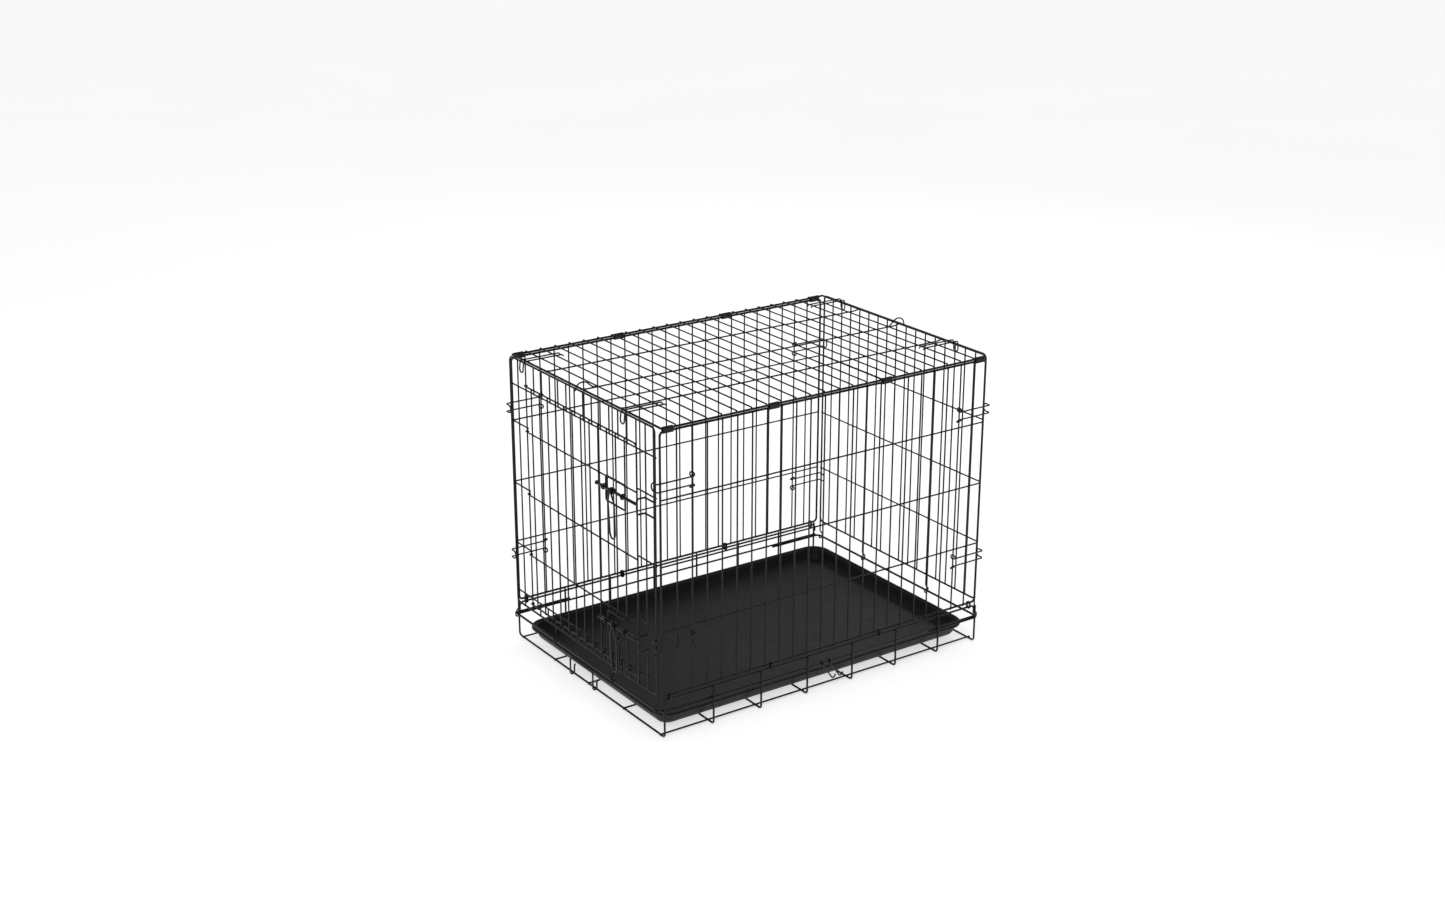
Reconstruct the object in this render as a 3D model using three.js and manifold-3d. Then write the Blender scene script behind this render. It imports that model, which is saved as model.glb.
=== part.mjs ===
// A folding wire dog crate with a plastic pan, one door and slide-bolt latches.
// Millimetres. X runs across the crate, Y along it with the door end at -Y, Z up from the floor.
import * as THREE from 'three';
import { mergeVertices } from 'three/addons/utils/BufferGeometryUtils.js';
import Module from 'manifold-3d';

const wasm = await Module();
wasm.setup();

// ---- driving dimensions -------------------------------------------------------------------
const FIELD_WIRE = 3;                 // the thin wires that fill every panel
const EDGE_WIRE = 4;                  // the thicker wires around a panel, and the base wires
const PIVOT_WIRE_R = 2.2;             // round edge wires that turn inside the hinge sleeves
const CLIP_WIRE = 2.6;                // spring wire of the clips, hooks and keepers
const HALF_LENGTH = 379.5;            // centre of a long panel's end wires
const PITCH = 33;                     // spacing of the wires along the crate
const WIRES_ALONG = 24;

const PIVOT_X = 266;                  // the four long hinge lines stand in two vertical planes
const SIDE_FIELD_X = PIVOT_X + 3.45;   // the side wires are welded on the outside of the edge wires
const SIDE_BOTTOM_Z = 87;
const SIDE_TOP_Z = 602;
const TOP_PIVOT_Z = 607;
const TOP_FIELD_Z = TOP_PIVOT_Z + 3.45;
const SIDE_LEVELS = [1, 2, 3].map((n) => SIDE_BOTTOM_Z + (n * (SIDE_TOP_Z - SIDE_BOTTOM_Z)) / 4);

const END_Y = 385.8;                  // plane of both end panels, just past the long panels
const END_HALF_WIDTH = 259.5;
const END_WIRES = 18;
const END_PITCH = (2 * END_HALF_WIDTH) / (END_WIRES - 1);
const END_BOTTOM_Z = 88;
const END_TOP_Z = 609;
const MID_LEVELS = [216, 345, 476];
const RAIL_Y = END_Y + 2.2;           // the thick end rails that the end panels hang on
const FRONT_RAIL_Z = 59.1;
const BACK_RAIL_Z = 50.9;
const END_RAIL_R = 2.3;
const RAIL_RETURN = 128;              // how far an end rail runs back along each long side

const OPENING_LOW_Z = 113;
const OPENING_HIGH_Z = 553;
const HINGE_WIRE = 2;                 // the end wires that border the door opening
const LATCH_WIRE = 15;
const DOOR_Y = -END_Y - 4.3;
const DOOR_RIGHT_X = 204;
const DOOR_LEVELS = [104, 211, 340, 471, 564];

const ROD_Y = -END_Y - 13.2;
const ROD_R = 2.5;
const LATCH_LEVELS = { upper: 455, lower: 185 };
const CLIP_LEVELS = { upper: 500, lower: 190 };
const CLIP_RING_WIRE = 2;             // the clip's rings hang on this wire from the corner
const TOP_CLIP_X = [-203, 163];
const SLEEVE_GAPS = [0, 7, 15, 22];   // which gaps between the wires hold a sleeve

const RAIL_X = PIVOT_X + 2.1;
const UPRIGHT_X = PIVOT_X + 6;
const BASE_RAIL_Z = 79;
const LOW_RAIL_Z = 55;
const BASE_CROSS_Y = [0, 1, 2, 3, 4, 5, 6].map((n) => -378 + n * 109.6).concat(377);
const BASE_LONG_X = [-258, -129, 0, 129, 258];
const FRONT_WIRE_Z = 5.8;             // the front cross wire is raised, so the pan stop hooks under it

const PAN = { halfWidth: 255, halfLength: 375, bottom: 7.8, top: 38, corner: 36, wall: 2.6 };
const PAN_PROFILE = [[7, 36], [14, 15], [24, 7.8]];  // inset from the rim's edge, and height
const HARDWARE_BALANCE_Y = 6.35;      // centres the outline, which the latches lengthen at the front

// ---- materials ----------------------------------------------------------------------------
const paint = (name, roughness, color = 0x0b0b0c, metalness = 0.55) =>
  new THREE.MeshStandardMaterial({ name, color, roughness, metalness });
const wireCoat = paint('wire_coat', 0.38);
const frameCoat = paint('frame_coat', 0.34);
const springWire = paint('spring_wire', 0.3, 0x111112, 0.7);
const sleeveSteel = paint('sleeve_steel', 0.45, 0x121213, 0.6);
const panPlastic = paint('pan_plastic', 0.5, 0x0e0e0f, 0);

// ---- solids -------------------------------------------------------------------------------
function solid(geometry) {
  const bare = geometry.clone();
  bare.deleteAttribute('normal');
  bare.deleteAttribute('uv');
  const merged = mergeVertices(bare, 1e-4);
  return new wasm.Manifold(new wasm.Mesh({
    numProp: 3,
    vertProperties: new Float32Array(merged.attributes.position.array),
    triVerts: new Uint32Array(merged.index.array),
  }));
}

const joined = (geometries) => geometries.map(solid).reduce((whole, next) => whole.add(next));

function surface(manifold) {
  const mesh = manifold.getMesh();
  const geometry = new THREE.BufferGeometry();
  geometry.setAttribute('position', new THREE.BufferAttribute(mesh.vertProperties, 3));
  geometry.setIndex(new THREE.BufferAttribute(mesh.triVerts, 1));
  geometry.computeVertexNormals();
  return geometry;
}

// A straight square wire or block between two corners.
function block(low, high) {
  const size = high.map((value, axis) => value - low[axis]);
  return new THREE.BoxGeometry(...size)
    .translate(...low.map((value, axis) => value + size[axis] / 2));
}

function squareWire(axis, from, to, centre, width, depth = width) {
  const low = [...centre];
  const high = [...centre];
  const others = [0, 1, 2].filter((n) => n !== axis);
  low[axis] = from;
  high[axis] = to;
  [width, depth].forEach((size, n) => {
    low[others[n]] -= size / 2;
    high[others[n]] += size / 2;
  });
  return block(low, high);
}

const X = 0;
const Y = 1;
const Z = 2;

// A straight round wire with eight sides, along one axis.
function roundWire(axis, from, to, centre, radius) {
  const geometry = new THREE.CylinderGeometry(radius, radius, to - from, 8).rotateY(Math.PI / 8);
  if (axis === X) geometry.rotateZ(Math.PI / 2);
  if (axis === Z) geometry.rotateX(Math.PI / 2);
  const middle = [...centre];
  middle[axis] = (from + to) / 2;
  return geometry.translate(...middle);
}

// The outline of a wire that bends in one plane: its path, offset to both sides with mitred corners.
function bentOutline(path, width) {
  const points = path.map(([u, v]) => new THREE.Vector2(u, v));
  const normals = points.slice(1).map((point, n) => {
    const along = point.clone().sub(points[n]).normalize();
    return new THREE.Vector2(-along.y, along.x);
  });
  const edge = (side) => points.map((point, n) => {
    const before = normals[Math.max(n - 1, 0)];
    const after = normals[Math.min(n, normals.length - 1)];
    const mitre = before.clone().add(after).normalize();
    return point.clone().addScaledVector(mitre, (side * width) / 2 / mitre.dot(after));
  });
  return new THREE.Shape([...edge(1), ...edge(-1).reverse()]);
}

// Shapes are drawn in (Y, Z), (X, Z) or (X, Y) and thickened evenly about a level on the third axis.
const PLANES = {
  YZ: new THREE.Matrix4().makeBasis(
    new THREE.Vector3(0, 1, 0), new THREE.Vector3(0, 0, 1), new THREE.Vector3(1, 0, 0)),
  XZ: new THREE.Matrix4().makeBasis(
    new THREE.Vector3(1, 0, 0), new THREE.Vector3(0, 0, 1), new THREE.Vector3(0, -1, 0)),
  XY: new THREE.Matrix4(),
};

function plate(shape, plane, level, thickness) {
  const geometry = new THREE.ExtrudeGeometry(shape, {
    depth: thickness, bevelEnabled: false, curveSegments: 4,
  });
  geometry.translate(0, 0, (plane === 'XZ' ? -level : level) - thickness / 2);
  return geometry.applyMatrix4(PLANES[plane]);
}

const bentWire = (path, plane, level, width, thickness = width) =>
  plate(bentOutline(path, width), plane, level, thickness);

// A square ring, drawn in a plane, that hangs on a wire through its middle.
function ring([u, v], plane, level, innerHalf, wall, thickness) {
  const half = innerHalf + wall;
  const square = (h) => [[u - h, v - h], [u + h, v - h], [u + h, v + h], [u - h, v + h]]
    .map(([a, b]) => new THREE.Vector2(a, b));
  const shape = new THREE.Shape(square(half));
  shape.holes.push(new THREE.Path(square(innerHalf).reverse()));
  return plate(shape, plane, level, thickness);
}

function roundedRectangle(halfWidth, halfLength, radius) {
  const shape = new THREE.Shape();
  const cx = halfWidth - radius;
  const cy = halfLength - radius;
  shape.absarc(cx, cy, radius, 0, Math.PI / 2);
  shape.absarc(-cx, cy, radius, Math.PI / 2, Math.PI);
  shape.absarc(-cx, -cy, radius, Math.PI, 1.5 * Math.PI);
  shape.absarc(cx, -cy, radius, 1.5 * Math.PI, 2 * Math.PI);
  return shape;
}

const crate = new THREE.Group();
crate.position.y = HARDWARE_BALANCE_Y;

function add(name, material, whole) {
  const geometry = whole.getMesh ? surface(whole) : whole;
  const mesh = new THREE.Mesh(geometry, material);
  mesh.name = name;
  crate.add(mesh);
}

const wireY = (n) => -HALF_LENGTH + n * PITCH;
const isEnd = (n, count) => n === 0 || n === count - 1;
const SIDES = { near: 1, far: -1 };
const ENDS = { front: -1, back: 1 };
const LONG_REACH = HALF_LENGTH + EDGE_WIRE / 2;

// ---- long side panels ---------------------------------------------------------------------
function sidePanel(side) {
  const x = side * SIDE_FIELD_X;
  const wires = [];
  for (let n = 0; n < WIRES_ALONG; n += 1) {
    const width = isEnd(n, WIRES_ALONG) ? EDGE_WIRE : FIELD_WIRE;
    const foot = SIDE_BOTTOM_Z - PIVOT_WIRE_R;
    wires.push(squareWire(Z, foot, SIDE_TOP_Z + PIVOT_WIRE_R, [x, wireY(n), 0], FIELD_WIRE, width));
  }
  for (const z of SIDE_LEVELS) {
    wires.push(squareWire(Y, -LONG_REACH, LONG_REACH, [x, 0, z], FIELD_WIRE));
  }
  for (const z of [SIDE_BOTTOM_Z, SIDE_TOP_Z]) {
    wires.push(roundWire(Y, -LONG_REACH, LONG_REACH, [side * PIVOT_X, 0, z], PIVOT_WIRE_R));
  }
  return joined(wires);
}

// ---- top panel ----------------------------------------------------------------------------
function topPanel() {
  const reach = PIVOT_X + PIVOT_WIRE_R;
  const wires = [];
  for (let n = 0; n < WIRES_ALONG; n += 1) {
    const width = isEnd(n, WIRES_ALONG) ? EDGE_WIRE : FIELD_WIRE;
    wires.push(squareWire(X, -reach, reach, [0, wireY(n), TOP_FIELD_Z], width, FIELD_WIRE));
  }
  for (const x of [-PIVOT_X / 2, 0, PIVOT_X / 2]) {
    wires.push(squareWire(Y, -LONG_REACH, LONG_REACH, [x, 0, TOP_FIELD_Z], FIELD_WIRE));
  }
  for (const x of [-PIVOT_X, PIVOT_X]) {
    wires.push(roundWire(Y, -LONG_REACH, LONG_REACH, [x, 0, TOP_PIVOT_Z], PIVOT_WIRE_R));
  }
  return joined(wires);
}

// ---- end panels ---------------------------------------------------------------------------
const endWireX = (n) => -END_HALF_WIDTH + n * END_PITCH;

// A hook at the foot of an end wire, which jogs outward and curls under the end rail.
function railHook(end, x, railZ) {
  const top = END_BOTTOM_Z - railZ;
  const path = [[2.2, top], [2.2, 13], [-4.6, 3.5], [-4.6, -2.6], [-1.2, -5], [3.2, -4.6], [4.6, -0.6]]
    .map(([inward, up]) => [end * (RAIL_Y - inward), railZ + up]);
  return bentWire(path, 'YZ', x, FIELD_WIRE);
}

function endPanel(end, railZ, levels, opening) {
  const y = end * END_Y;
  const wires = [];
  for (let n = 0; n < END_WIRES; n += 1) {
    const x = endWireX(n);
    const width = isEnd(n, END_WIRES) ? EDGE_WIRE : FIELD_WIRE;
    const top = END_TOP_Z + EDGE_WIRE / 2;
    const foot = END_BOTTOM_Z - FIELD_WIRE / 2;
    if (opening && n > HINGE_WIRE && n < LATCH_WIRE) {
      wires.push(squareWire(Z, foot, OPENING_LOW_Z, [x, y, 0], width, FIELD_WIRE));
      wires.push(squareWire(Z, OPENING_HIGH_Z, top, [x, y, 0], width, FIELD_WIRE));
    } else {
      wires.push(squareWire(Z, foot, top, [x, y, 0], width, FIELD_WIRE));
    }
  }
  const reach = END_HALF_WIDTH + EDGE_WIRE / 2;
  wires.push(squareWire(X, -reach, reach, [0, y, END_TOP_Z], FIELD_WIRE, EDGE_WIRE));
  for (const z of levels) {
    if (opening && MID_LEVELS.includes(z)) {
      wires.push(squareWire(X, -reach, endWireX(HINGE_WIRE), [0, y, z], FIELD_WIRE));
      wires.push(squareWire(X, endWireX(LATCH_WIRE), reach, [0, y, z], FIELD_WIRE));
    } else {
      wires.push(squareWire(X, -reach, reach, [0, y, z], FIELD_WIRE));
    }
  }
  for (const n of [0, 5, 12, 17]) wires.push(railHook(end, endWireX(n), railZ));
  return wires;
}

// A keeper stands off the front panel: the bolt slides behind its outer bar.
const KEEPER_HALF = 15;
const KEEPER_X = 229;
const KEEPER_OUT_Y = -END_Y - 19.7;
function keeper(z) {
  const face = -END_Y - FIELD_WIRE / 2 + 0.2;
  const staple = [
    [face, z + KEEPER_HALF], [KEEPER_OUT_Y, z + KEEPER_HALF],
    [KEEPER_OUT_Y, z - KEEPER_HALF], [face, z - KEEPER_HALF],
  ];
  const barY = face - CLIP_WIRE / 2;
  const bars = [1, -1].map((side) =>
    squareWire(X, KEEPER_X, 250, [0, barY, z + side * KEEPER_HALF], CLIP_WIRE));
  return [bentWire(staple, 'YZ', KEEPER_X, CLIP_WIRE), ...bars];
}

// ---- door ---------------------------------------------------------------------------------
const BRACKET = { left: 106, right: 172, above: 21, below: 28 };

// The bracket is a wire frame on the door with two eyes that guide the bolt.
function boltBracket(z) {
  const y = DOOR_Y - FIELD_WIRE / 2 - CLIP_WIRE / 2 + 0.2;
  const { left, right } = BRACKET;
  const low = z - BRACKET.below;
  const high = z + BRACKET.above;
  const eye = ROD_R + 0.7;
  return [
    squareWire(X, left, right, [0, y, high], CLIP_WIRE),
    squareWire(X, left, right, [0, y, low], CLIP_WIRE),
    squareWire(Z, low, high, [left, y, 0], CLIP_WIRE),
    squareWire(Z, low, high, [right, y, 0], CLIP_WIRE),
    ring([ROD_Y, z], 'YZ', left, eye, 2.2, CLIP_WIRE),
    ring([ROD_Y, z], 'YZ', right, eye, 2.2, CLIP_WIRE),
  ];
}

function doorPanel() {
  const hingeX = endWireX(HINGE_WIRE);
  const wires = [];
  const [low] = DOOR_LEVELS;
  const high = DOOR_LEVELS[DOOR_LEVELS.length - 1];
  const half = FIELD_WIRE / 2;
  for (let n = HINGE_WIRE + 1; n < LATCH_WIRE; n += 1) {
    wires.push(squareWire(Z, low - half, high + half, [endWireX(n), DOOR_Y, 0], FIELD_WIRE));
  }
  wires.push(squareWire(Z, low - half, high + half, [DOOR_RIGHT_X, DOOR_Y, 0], EDGE_WIRE, FIELD_WIRE));
  for (const z of DOOR_LEVELS) {
    wires.push(squareWire(X, hingeX, DOOR_RIGHT_X, [0, DOOR_Y, z], FIELD_WIRE));
    wires.push(ring([hingeX, -END_Y], 'XY', z, 2.2, 1.8, FIELD_WIRE));
  }
  for (const z of Object.values(LATCH_LEVELS)) wires.push(...boltBracket(z));
  return joined(wires);
}

// ---- slide bolts --------------------------------------------------------------------------
const BOLT = { left: 82, tip: 218, knob: 4.2, handleX: 134 };

function slideBolt(z) {
  return joined([
    roundWire(X, BOLT.left, BOLT.tip, [0, ROD_Y, z], ROD_R),
    roundWire(X, BOLT.left - 4, BOLT.left + 4, [0, ROD_Y, z], BOLT.knob),
  ]);
}

// The handle is a hairpin of wire that hangs from the bolt by two eyes and widens downward.
const HANDLE = { half: 11, eyes: 7, length: 96, eye: 3.1, wall: 2.2 };

function boltHandle(z) {
  const { half, eyes, length, eye, wall } = HANDLE;
  const x = BOLT.handleX;
  const start = z - eye - wall / 2;
  const bottom = z - length;
  const path = [
    [x - eyes, start], [x - half, bottom + 8], [x - half / 2, bottom],
    [x + half / 2, bottom], [x + half, bottom + 8], [x + eyes, start],
  ];
  return joined([
    bentWire(path, 'XZ', ROD_Y, CLIP_WIRE),
    ring([ROD_Y, z], 'YZ', x - eyes, eye, wall, CLIP_WIRE),
    ring([ROD_Y, z], 'YZ', x + eyes, eye, wall, CLIP_WIRE),
  ]);
}

// ---- clips --------------------------------------------------------------------------------
// A corner clip is one spring wire: two rings on a side wire, two legs along the outside of the
// side panel, and a closed end that wraps round the corner onto the outside of the end panel.
const CORNER_CLIP = { spacing: 15.6, out: 3.4, wrapY: END_Y + 4.6, tipX: 256 };

function cornerClip(side, end, z) {
  const ringY = end * -wireY(CLIP_RING_WIRE);
  const legX = side * (SIDE_FIELD_X + CORNER_CLIP.out);
  const path = [
    [legX, ringY], [legX, end * (CORNER_CLIP.wrapY - 4)],
    [legX - side * 4, end * CORNER_CLIP.wrapY], [side * CORNER_CLIP.tipX, end * CORNER_CLIP.wrapY],
  ];
  const tall = CORNER_CLIP.spacing + CLIP_WIRE;
  const band = solid(bentWire(path, 'XY', z, CLIP_WIRE, tall));
  const gap = (CORNER_CLIP.spacing - CLIP_WIRE) / 2;
  const tipInside = side * (CORNER_CLIP.tipX + CLIP_WIRE);
  const yEnds = [ringY - end * 20, end * (CORNER_CLIP.wrapY + 10)].sort((a, b) => a - b);
  const xEnds = [tipInside, side * 300].sort((a, b) => a - b);
  const window = solid(block([xEnds[0], yEnds[0], z - gap], [xEnds[1], yEnds[1], z + gap]));
  const rings = [1, -1].map((up) =>
    solid(ring([side * SIDE_FIELD_X, ringY], 'XY', z + (up * CORNER_CLIP.spacing) / 2,
      2.3, 2.4, CLIP_WIRE)));
  return rings.reduce((whole, next) => whole.add(next), band.subtract(window));
}

// A top clip lies on the top panel, runs out over its end wire and hangs down outside the end panel.
const TOP_CLIP = { wire: 2.4, half: 6.5 };

function topClip(end, x) {
  const { wire, half } = TOP_CLIP;
  const lying = TOP_FIELD_Z + FIELD_WIRE / 2 + 0.3 + wire / 2;
  const path = [[303, lying], [END_Y + 4.2, lying], [END_Y + 6.2, 590]]
    .map(([y, z]) => [end * y, z]);
  const band = solid(bentWire(path, 'YZ', x, wire, 2 * half + wire));
  const yEnds = [end * 290, end * 400].sort((a, b) => a - b);
  const window = solid(block(
    [x - half + wire / 2, yEnds[0], 590 + wire], [x + half - wire / 2, yEnds[1], 630]));
  return band.subtract(window);
}

// The top panel's middle wire ends in an arched hook over each end panel.
function centreHook(end) {
  const lying = TOP_FIELD_Z + FIELD_WIRE / 2 + 0.3 + CLIP_WIRE / 2;
  const arc = [[358, 0], [364, 1.5], [369, 6], [376, 9.5], [384, 8.5], [390, 4], [392.5, -6]]
    .map(([y, up]) => [end * y, lying + up]);
  return bentWire(arc, 'YZ', 0, CLIP_WIRE);
}

// ---- hinge sleeves ------------------------------------------------------------------------
// A sleeve is a strip of steel folded round two neighbouring wires, open at both ends.
const SLEEVE = { top: 22, base: 9, wall: 1.2, room: 0.3 };

function sleeve(n, side, length, [insideX, outsideX], [lowZ, highZ]) {
  const y = wireY(n) + PITCH / 2;
  const corners = (grow) => {
    const [x0, x1] = [side * (insideX - grow), side * (outsideX + grow)].sort((a, b) => a - b);
    return [[x0, lowZ - grow], [x1, lowZ - grow], [x1, highZ + grow], [x0, highZ + grow]]
      .map(([u, v]) => new THREE.Vector2(u, v));
  };
  const shape = new THREE.Shape(corners(SLEEVE.room + SLEEVE.wall));
  shape.holes.push(new THREE.Path(corners(SLEEVE.room)));
  return plate(shape, 'XZ', y, length);
}

const topSleeve = (n, side) =>
  sleeve(n, side, SLEEVE.top, [PIVOT_X - PIVOT_WIRE_R, PIVOT_X + PIVOT_WIRE_R],
    [SIDE_TOP_Z - PIVOT_WIRE_R, TOP_PIVOT_Z + PIVOT_WIRE_R]);
const baseSleeve = (n, side) =>
  sleeve(n, side, SLEEVE.base, [PIVOT_X - PIVOT_WIRE_R, RAIL_X + EDGE_WIRE / 2],
    [BASE_RAIL_Z - EDGE_WIRE / 2, SIDE_BOTTOM_Z + PIVOT_WIRE_R]);

// ---- base ---------------------------------------------------------------------------------
// Cross wires bent up into the uprights, the wires that run along them, and the long and end rails.
function baseFrame() {
  const wires = [];
  const corner = 6;
  BASE_CROSS_Y.forEach((y, n) => {
    const z = n === 0 ? FRONT_WIRE_Z : EDGE_WIRE / 2;
    const half = [
      [UPRIGHT_X, 81], [UPRIGHT_X, z + corner], [UPRIGHT_X - corner, z],
    ];
    const path = [...half.map(([x, up]) => [-x, up]), ...half.reverse()];
    wires.push(bentWire(path, 'XZ', y, EDGE_WIRE));
  });
  for (const x of BASE_LONG_X) {
    wires.push(squareWire(Y, BASE_CROSS_Y[0], 379, [x, 0, 5.6], 3.6));
  }
  for (const side of [-1, 1]) {
    for (const z of [BASE_RAIL_Z, LOW_RAIL_Z]) {
      wires.push(squareWire(Y, -380, 379, [side * RAIL_X, 0, z], EDGE_WIRE + 0.2, EDGE_WIRE));
    }
    for (const [end, z] of [[-1, FRONT_RAIL_Z], [1, BACK_RAIL_Z]]) {
      const [from, to] = [end * RAIL_Y, end * (RAIL_Y - RAIL_RETURN)].sort((a, b) => a - b);
      wires.push(roundWire(Y, from, to, [side * RAIL_X, 0, z], END_RAIL_R));
    }
  }
  const reach = RAIL_X + END_RAIL_R;
  wires.push(roundWire(X, -reach, reach, [0, -RAIL_Y, FRONT_RAIL_Z], END_RAIL_R));
  wires.push(roundWire(X, -reach, reach, [0, RAIL_Y, BACK_RAIL_Z], END_RAIL_R));
  return joined(wires);
}

// ---- pan ----------------------------------------------------------------------------------
function pan() {
  const { halfWidth, halfLength, top, corner, wall } = PAN;
  const slab = (inset, low, high) => solid(plate(
    roundedRectangle(halfWidth - inset, halfLength - inset, corner - inset),
    'XY', (low + high) / 2, high - low));
  const tub = (inset, lift, rise) => wasm.Manifold.hull(PAN_PROFILE.map(([step, z], n) =>
    slab(step + inset, z + lift, z + lift + (n ? 0.01 : rise))));
  const rim = slab(0, top - 4, top);
  return rim.add(tub(0, 0, 1)).subtract(tub(wall, wall, 5));
}

// The pan stop swings on the front cross wire and stands in front of the pan's rim.
const PAN_STOP = { legs: [-61, 24], bar: 40, out: 4.4, under: 4.3 };

function panStop() {
  const { legs, bar, out, under } = PAN_STOP;
  const y = BASE_CROSS_Y[0];
  const z = FRONT_WIRE_Z;
  const legY = y - out;
  const hook = [
    [legY, bar], [legY, z - 2], [y - 2.6, z - under], [y + 2.6, z - under], [y + out, z - 2],
    [y + out, z + 16],
  ];
  return joined([
    squareWire(X, legs[0] - 1.3, legs[1] + 1.3, [0, legY, bar], CLIP_WIRE),
    ...legs.map((x) => bentWire(hook, 'YZ', x, CLIP_WIRE)),
  ]);
}

// Two hooks hang from the low rail of the near side, and hold the folded stack together.
const FOLD_HOOKS = { y: [-11, 7], reach: 34, foot: 17 };

function foldHook(y) {
  const { reach, foot } = FOLD_HOOKS;
  const end = y + reach;
  const path = [
    [y, LOW_RAIL_Z - 4], [end - 14, foot + 8], [end - 9, foot], [end - 4, foot], [end, foot + 5],
  ];
  return joined([
    bentWire(path, 'YZ', RAIL_X, CLIP_WIRE),
    ring([RAIL_X, LOW_RAIL_Z], 'XZ', y, 3.2, 2.2, CLIP_WIRE),
  ]);
}

// ---- the assembly -------------------------------------------------------------------------
add('base_frame', frameCoat, baseFrame());
add('pan', panPlastic, pan());
add('top_panel', wireCoat, topPanel());
for (const [name, side] of Object.entries(SIDES)) {
  add(`${name}_side_panel`, wireCoat, sidePanel(side));
  SLEEVE_GAPS.forEach((gap, n) => {
    add(`${name}_top_sleeve_${n + 1}`, sleeveSteel, topSleeve(gap, side));
    add(`${name}_base_sleeve_${n + 1}`, sleeveSteel, baseSleeve(gap, side));
  });
}
const keepers = Object.values(LATCH_LEVELS).flatMap(keeper);
const frontLevels = [END_BOTTOM_Z, OPENING_LOW_Z, ...MID_LEVELS, OPENING_HIGH_Z];
add('front_panel', wireCoat,
  joined([...endPanel(ENDS.front, FRONT_RAIL_Z, frontLevels, true), ...keepers]));
add('back_panel', wireCoat,
  joined(endPanel(ENDS.back, BACK_RAIL_Z, [END_BOTTOM_Z, ...MID_LEVELS], false)));
add('door', wireCoat, doorPanel());
for (const [level, z] of Object.entries(LATCH_LEVELS)) {
  add(`${level}_bolt`, springWire, slideBolt(z));
  add(`${level}_bolt_handle`, springWire, boltHandle(z));
}
for (const [endName, end] of Object.entries(ENDS)) {
  for (const [sideName, side] of Object.entries(SIDES)) {
    for (const [level, z] of Object.entries(CLIP_LEVELS)) {
      add(`${endName}_${sideName}_${level}_clip`, springWire, cornerClip(side, end, z));
    }
  }
  TOP_CLIP_X.forEach((x, n) => {
    add(`${endName}_top_clip_${n + 1}`, springWire, topClip(end, x));
  });
  add(`${endName}_centre_hook`, springWire, centreHook(end));
}
add('pan_stop', springWire, panStop());
FOLD_HOOKS.y.forEach((y, n) => add(`fold_hook_${n + 1}`, springWire, foldHook(y)));

export default crate;
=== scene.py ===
"""The look of a folding wire dog crate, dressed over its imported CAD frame.

Lengths are in millimetres until at() turns a point into metres.
"""
import math
import bpy
from mathutils import Matrix, Vector


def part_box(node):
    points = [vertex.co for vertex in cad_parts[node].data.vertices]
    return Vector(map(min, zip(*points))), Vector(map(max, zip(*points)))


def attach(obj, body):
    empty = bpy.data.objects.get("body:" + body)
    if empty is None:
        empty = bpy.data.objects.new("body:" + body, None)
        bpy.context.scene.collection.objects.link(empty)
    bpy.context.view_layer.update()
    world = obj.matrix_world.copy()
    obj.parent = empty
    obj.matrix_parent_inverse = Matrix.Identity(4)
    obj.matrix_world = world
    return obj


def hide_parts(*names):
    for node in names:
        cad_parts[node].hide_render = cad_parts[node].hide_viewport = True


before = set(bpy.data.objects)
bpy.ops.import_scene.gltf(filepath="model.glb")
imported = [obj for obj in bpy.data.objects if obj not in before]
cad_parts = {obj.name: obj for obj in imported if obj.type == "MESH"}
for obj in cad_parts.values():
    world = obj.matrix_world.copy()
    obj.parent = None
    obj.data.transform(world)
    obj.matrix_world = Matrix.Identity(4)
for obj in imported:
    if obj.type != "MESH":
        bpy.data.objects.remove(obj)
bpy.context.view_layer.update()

MM = 0.001


# ---- where things are, read from the CAD nodes -----------------------------------------------
def box(node):
    return [[value / MM for value in corner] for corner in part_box(node)]


side_lo, side_hi = box("near_side_panel")
front_lo, front_hi = box("front_panel")
door_lo, door_hi = box("door")
pan_lo, pan_hi = box("pan")
MID_Y = (side_lo[1] + side_hi[1]) / 2

# wire radii: the thin wires that fill a panel, its edges, the clips and hooks, the latches
FIELD_R = 1.55
EDGE_R = 2.2
CLIP_R = 1.5
LATCH_R = 1.8
ROD_R = 2.9
STOP_R = 1.7
SLEEVE_WALL = 1.1
SEAM_HALF = 0.3

# levels, spacings and planes of the panels
PITCH = 33.0
HALF_LENGTH = 379.5
LAST_WIRE = 23
PIVOT_X = side_lo[0] + 2.0
FIELD_X = side_hi[0] - 1.5
SIDE_Z = (side_lo[2] + 2.2, side_hi[2] - 2.2)
SIDE_LEVELS = [SIDE_Z[0] + n * (SIDE_Z[1] - SIDE_Z[0]) / 4 for n in (1, 2, 3)]
TOP_Z = SIDE_Z[1] + 5
TOP_FIELD_Z = TOP_Z + 3.45
END_Y = 385.8
END_HALF = 259.5
END_PITCH = 2 * END_HALF / 17
END_Z = (88.0, front_hi[2] - 2)
MID_LEVELS = [216.0, 345.0, 476.0]
OPENING_Z = (113.0, 553.0)
RAIL_Y = END_Y + 2.2
RAIL_Z = {"front": 59.1, "back": 50.9}
RAIL_X = PIVOT_X + 2.1
UPRIGHT_X = PIVOT_X + 6
# the hardware
ROD_Y = -END_Y - 13.2
HANDLE_X = 134.0
BRACKET_X = (106, 172)
BRACKET_REACH = (-28, 21)
KEEPER_X = (229, 258)
KEEPER_HALF = 15
STOP_BAR_Z = 40
STOP_LEGS_X = (-61.0, 24.0)
LATCH_Z = {"upper": 455.0, "lower": 185.0}
CLIP_Z = {"upper": 500.0, "lower": 190.0}
ENDS = {"front": -1, "back": 1}
SIDES = {"near": 1, "far": -1}


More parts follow.
